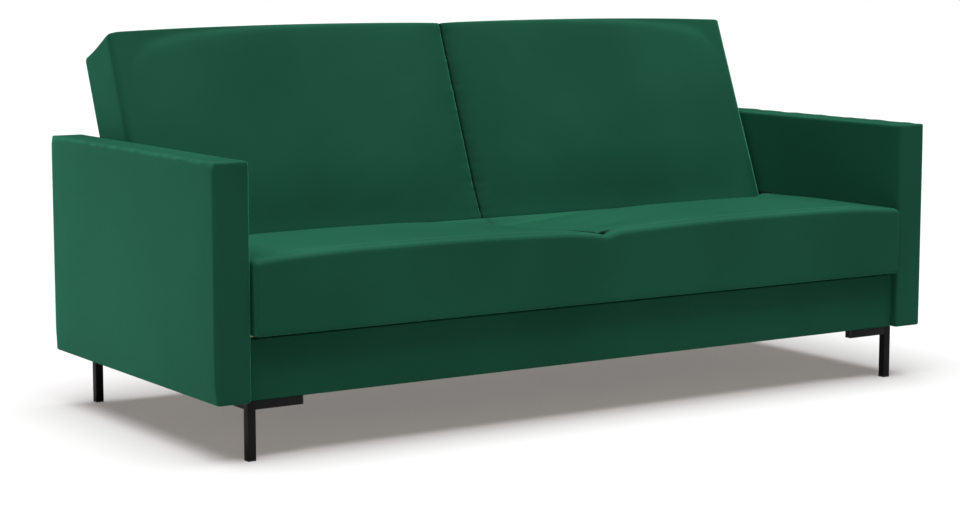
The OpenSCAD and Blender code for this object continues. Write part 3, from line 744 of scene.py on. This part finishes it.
# %% Back seam, bow and taper
cut_at(back_cushion, 0, [d * s * mm for d in (1.2, 3.2, 8.5, 15, 21) for s in (-1, 1)])
rows = points(back_cushion)
x, y, z = rows.T
away = y - back_low.y
front = ramp(z, back_high.z - 60 * mm, back_high.z - 25 * mm)
off_seam = np.abs(x)
stitches = np.sin(y / (4.3 * mm)) + 0.7 * np.sin(y / (7.1 * mm) + 1) + 0.5 * np.sin(y / (11.7 * mm) + 2)
puckers = 0.6 * mm * stitches * np.exp(-off_seam / (18 * mm)) * ramp(off_seam, 0, 4 * mm)
crease = 8 * mm * np.exp(-off_seam / np.where(x > 0, 4 * mm, 1.6 * mm)) + puckers
rows[:, 2] -= crease * front * ramp(away, 10 * mm, 50 * mm)
far = ramp(away, length - 90 * mm, length - 5 * mm)
whole_bow = 8 * mm * (1 - (x / half_width) ** 2)
half_bow = 4 * mm * (1 - (2 * off_seam / half_width - 1) ** 2)
rows[:, 1] += far * ramp(z, back_low.z + foam_foot, back_high.z) * (4.5 * mm + whole_bow + half_bow)
behind = np.clip((back_high.z - z) / thickness, 0, 1)
rows[:, 1] -= 9 * mm * ramp(away, length - 60 * mm, length - 25 * mm) * behind
set_points(back_cushion, rows)
# Painted shade: full in the sewn line, and half as strong on its right, fading over about 20 mm.
shaded_side = np.where(x > 0, 0.5 * np.exp(-off_seam / (20 * mm)), 0)
paint_crease_shade(back_cushion, front * (np.exp(-(off_seam / (3.2 * mm)) ** 2) + shaded_side))

# %% [markdown]
# Both panels get their underside while they lie flat. The back is then turned up about its own
# hinge to where the model stores it. Each cushion stands for the cover and the foam of its panel.

# %% Close the panels' undersides and stand the back up
open_underside(seat_cushion, seat_low, seat_high, 9 * mm, COVER)
open_underside(back_cushion, back_low, back_high, 9 * mm, COVER)
for cushion in (seat_cushion, back_cushion):
    smooth(cushion)
    paint(cushion, velvet)
back_cushion.matrix_world = raise_back
select_only(back_cushion)
bpy.ops.object.transform_apply(location=True, rotation=True, scale=True)
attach(seat_cushion, "seat")
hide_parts("seat_cover", "seat_foam")
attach(back_cushion, "back")
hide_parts("back_cover", "back_foam")

# %% [markdown]
# ## The arms
# Each arm is a thin frame under a layer of foam, so it stays almost flat and its edges are crisp.
# It swells only by a few millimetres, more on its outer side than on the side where the box and
# the hinge plate are. The velvet is turned over the outer top edge in small uneven puckers. One
# arm is made, and the other is its mirror image.

# %% Left arm
arm_low, arm_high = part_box("arm_upholstery_left")
PAD = 12 * mm
arm_left = block("arm_left", arm_low, arm_high)
bevel_where(arm_left, 6 * mm, 4, lambda ends: True)
cut_at(arm_left, 0, [arm_low.x + PAD, (arm_low.x + arm_high.x) / 2, arm_high.x - PAD])
cut_at(arm_left, 1, [arm_low.y + PAD, *np.arange(arm_low.y + 24 * mm, arm_high.y - 20 * mm, GRID),
                     arm_high.y - PAD])
cut_at(arm_left, 2, [arm_low.z + PAD, *np.arange(arm_low.z + 24 * mm, arm_high.z - 10 * mm, GRID)])
rows = points(arm_left)
x, y, z = rows.T
inner = ramp(x, arm_high.x - 25 * mm, arm_high.x - 5 * mm)
reach = np.stack([3.5 * mm - 3.1 * mm * inner, np.full(len(x), 2 * mm), np.full(len(x), 4 * mm)], axis=1)
reach *= ramp(z, arm_low.z + 5 * mm, arm_low.z + 60 * mm)[:, None]
swell(arm_left, z < arm_low.z + PAD, reach, 0.15 * mm)
apply(arm_left, "SUBSURF", levels=1, render_levels=1)
rows = points(arm_left)
x, y, z = rows.T
edge = np.exp(-(x - arm_low.x) / (7 * mm)) * np.exp(-np.abs(arm_high.z - z) / (6 * mm))
uneven = (np.sin(y / (24 * mm)) * np.sin(y / (61 * mm))
          + 0.7 * np.sin(y / (11.3 * mm) + 1.5) * np.sin(y / (53 * mm)) + 0.15 * np.sin(y / (7.1 * mm)))
rows[:, 2] += edge * (1.5 * mm + 1.6 * mm * uneven) + 4 * mm * ramp(z, arm_high.z - 60 * mm, arm_high.z)
rows[:, 0] -= edge * (0.5 * mm + 0.5 * mm * uneven)
set_points(arm_left, rows)

# %% [markdown]
# The arm is open below, where its frame stands in it. Its underside is made one face and pushed up
# to just under the top. The right arm is the finished left one, mirrored, and its faces are turned
# to point outwards again.

# %% Room for the arm's frame, and the right arm
pick(arm_left, "face", lambda corners: all(
    p.z < arm_low.z + mm / 2 and arm_low.x + PAD - mm < p.x < arm_high.x - PAD + mm
    and arm_low.y + PAD - mm < p.y < arm_high.y - PAD + mm for p in corners))
bpy.ops.mesh.dissolve_faces()
bpy.ops.mesh.extrude_region_move(TRANSFORM_OT_translate={"value": (0, 0, arm_high.z - arm_low.z - PAD)})
done()
select_only(arm_left)
bpy.ops.object.duplicate()
arm_right = bpy.context.object
arm_right.name = arm_right.data.name = "arm_right"
arm_right.scale = (-1, 1, 1)
bpy.ops.object.transform_apply(location=True, rotation=True, scale=True)
pick(arm_right, "face", lambda corners: True)
bpy.ops.mesh.normals_make_consistent(inside=False)
done()
for side, arm in (("left", arm_left), ("right", arm_right)):
    smooth(arm)
    paint(arm, velvet)
    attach(arm, "base")
    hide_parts("arm_upholstery_" + side)
print("each arm has", len(arm_left.data.polygons), "faces")

# %% [markdown]
# ## The box front
# A thin pad under velvet covers the box front between the arms. It is nearly flat, and its
# middle stands a millimetre or so proud of its edges.

# %% Box front
low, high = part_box("box_front_upholstery")
box_front = block("box_front_pad", low, high)
bevel_where(box_front, 2.5 * mm, 3, lambda ends: all(p.y < low.y + mm for p in ends))
cut_at(box_front, 0, spaced(low.x, high.x, 24 * mm, (8, 16)))
cut_at(box_front, 2, spaced(low.z, high.z, 14 * mm, (6, 12)))
rows = points(box_front)
x, y, z = rows.T
face = ramp(-y, -low.y - 4 * mm, -low.y)
rows[:, 1] -= 1.6 * mm * face * ramp(z, low.z, low.z + 30 * mm) * (1 - ramp(z, high.z - 30 * mm, high.z))
rows[:, 1] -= 0.4 * mm * face * np.sin(x / (83 * mm)) * np.sin(z / (37 * mm) + x / (210 * mm))
set_points(box_front, rows)
smooth(box_front)
paint(box_front, velvet)
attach(box_front, "base")
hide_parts("box_front_upholstery")

# %% [markdown]
# ## The lining boards
# A thin board under stretched lining cloth closes the underside of the seat and the rear of the
# back. The cloth is turned over the board's edge, and the board is a hair hollow in long shallow
# waves, so nothing stands proud where the rubber bumpers meet it.

# %% Lining boards
for name, body, (low, high), place in (("seat_lining", "seat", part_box("seat_lining"), Matrix()),
                                       ("back_lining", "back", flat_box("back_lining"), raise_back)):
    lined = block(name + "_board", low, high)
    bevel_where(lined, 1.2 * mm, 2, lambda ends: True)
    cut_at(lined, 0, spaced(low.x, high.x, 30 * mm, (4, 9, 16)))
    cut_at(lined, 1, spaced(low.y, high.y, 30 * mm, (4, 9, 16)))
    rows = points(lined)
    x, y, z = rows.T
    from_edge = ramp(np.minimum(y - low.y, high.y - y), 0, 40 * mm) * ramp(high.x - np.abs(x), 0, 40 * mm)
    waves = 0.6 * mm + 0.5 * mm * np.sin(x / (47 * mm) + y / (90 * mm)) * np.sin(y / (39 * mm))
    rows[:, 2] += (z < low.z + mm / 2) * from_edge * waves
    set_points(lined, rows)
    lined.matrix_world = place
    select_only(lined)
    bpy.ops.object.transform_apply(location=True, rotation=True, scale=True)
    smooth(lined, 50)
    paint(lined, lining)
    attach(lined, body)
    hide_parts(name)
    print(lined.name, "has", len(lined.data.polygons), "faces")

# %% [markdown]
# ## Worked edges
# No real board or tube has a knife edge. A saw leaves a small round on a rail, a folded tube has
# an outer radius, and a bar is deburred. For these pieces the frame's own shape is copied, its
# loose triangles are merged, its flat areas are made whole again, and its edges get a bevel.

# %% Ease the edges
def eased(name, radius, segments, material, body):
    """A copy of a node with rounded edges, which stands in for it."""
    piece = nodes[name].copy()
    piece.data = nodes[name].data.copy()
    piece.name = piece.data.name = name + "_eased"
    bpy.context.scene.collection.objects.link(piece)
    pick(piece, "face", lambda corners: True)
    bpy.ops.mesh.remove_doubles(threshold=mm / 100)
    bpy.ops.mesh.dissolve_limited(angle_limit=math.radians(1))
    done()
    apply(piece, "BEVEL", width=radius, segments=segments, limit_method="ANGLE", angle_limit=math.radians(40))
    smooth(piece, 35)
    paint(piece, material)
    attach(piece, body)
    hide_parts(name)
    return piece


for name in ("leg_front_left", "leg_front_right", "leg_rear_left", "leg_rear_right"):
    eased(name, 1.6 * mm, 3, powder, "base")
for name, body in (("seat_front_rail", "seat"), ("seat_rear_rail", "seat"),
                   ("back_top_rail", "back"), ("back_lower_rail", "back")):
    eased(name, 1.5 * mm, 2, pine, body)
for name, body in (("seat_slats", "seat"), ("back_slats", "back")):
    eased(name, 1.2 * mm, 2, birch, body)

# %% [markdown]
# ## Floor, light and background
# The floor is plain and pale. One broad light from above makes the tops the brightest faces, and
# the fronts get what the floor and the room give back. A pale floor gives back more than a studio
# with dark cards round the sofa does, so for bounced light the floor is made darker.

# %% Studio
floor_size = 60
bpy.ops.mesh.primitive_plane_add(size=floor_size)
floor = bpy.context.object
floor.name = "floor"
floor_material, tree, principled, place = shader("pale_floor", 0.9, Specular_IOR_Level=0.1,
                                                 Emission_Color=(1.0, 0.97, 0.95, 1))
floor_clouds = node(tree, "TexNoise", [("Vector", place)], Scale=0.8, Detail=2.0)
floor_rays = node(tree, "LightPath")
seen_floor = mixed(tree, floor_clouds.outputs["Fac"], (0.57, 0.565, 0.57, 1), (0.59, 0.585, 0.59, 1))
tree.links.new(mixed(tree, floor_rays.outputs["Is Camera Ray"], (0.46, 0.46, 0.46, 1), seen_floor),
               principled.inputs["Base Color"])
# Painted light: seen by the camera, the floor also glows evenly, so it reads white and the sofa's shadow on
# it reads lighter.
glow = node(tree, "Math", [(0, floor_rays.outputs["Is Camera Ray"])], operation="MULTIPLY")
glow.inputs[1].default_value = 0.19
tree.links.new(glow.outputs["Value"], principled.inputs["Emission Strength"])
paint(floor, floor_material)


def sun(name, strength, spread, tilt, turn, color=(1, 1, 1)):
    """A distant soft light, tilted from straight down and turned round the sofa, in degrees."""
    bpy.ops.object.light_add(type="SUN", rotation=(math.radians(tilt), 0, math.radians(turn)))
    light = bpy.context.object
    light.name = name
    light.data.energy = strength
    light.data.angle = math.radians(spread)
    light.data.color = color


sun("overhead", 4.7, 56, 6, -50)
world = bpy.data.worlds.new("room")
bpy.context.scene.world = world
world.use_nodes = True
room = world.node_tree
background = room.nodes["Background"]
path = room.nodes.new("ShaderNodeLightPath")
seen = room.nodes.new("ShaderNodeMix")
seen.data_type = "FLOAT"
ROOM_LIGHT, ROOM_SEEN = 0.10, 1.0
seen.inputs[2].default_value = ROOM_LIGHT
seen.inputs[3].default_value = ROOM_SEEN
room.links.new(path.outputs["Is Camera Ray"], seen.inputs[0])
room.links.new(seen.outputs[0], background.inputs["Strength"])
background.inputs["Color"].default_value = (1, 1, 1, 1)
bpy.context.scene.view_settings.view_transform = "Standard"
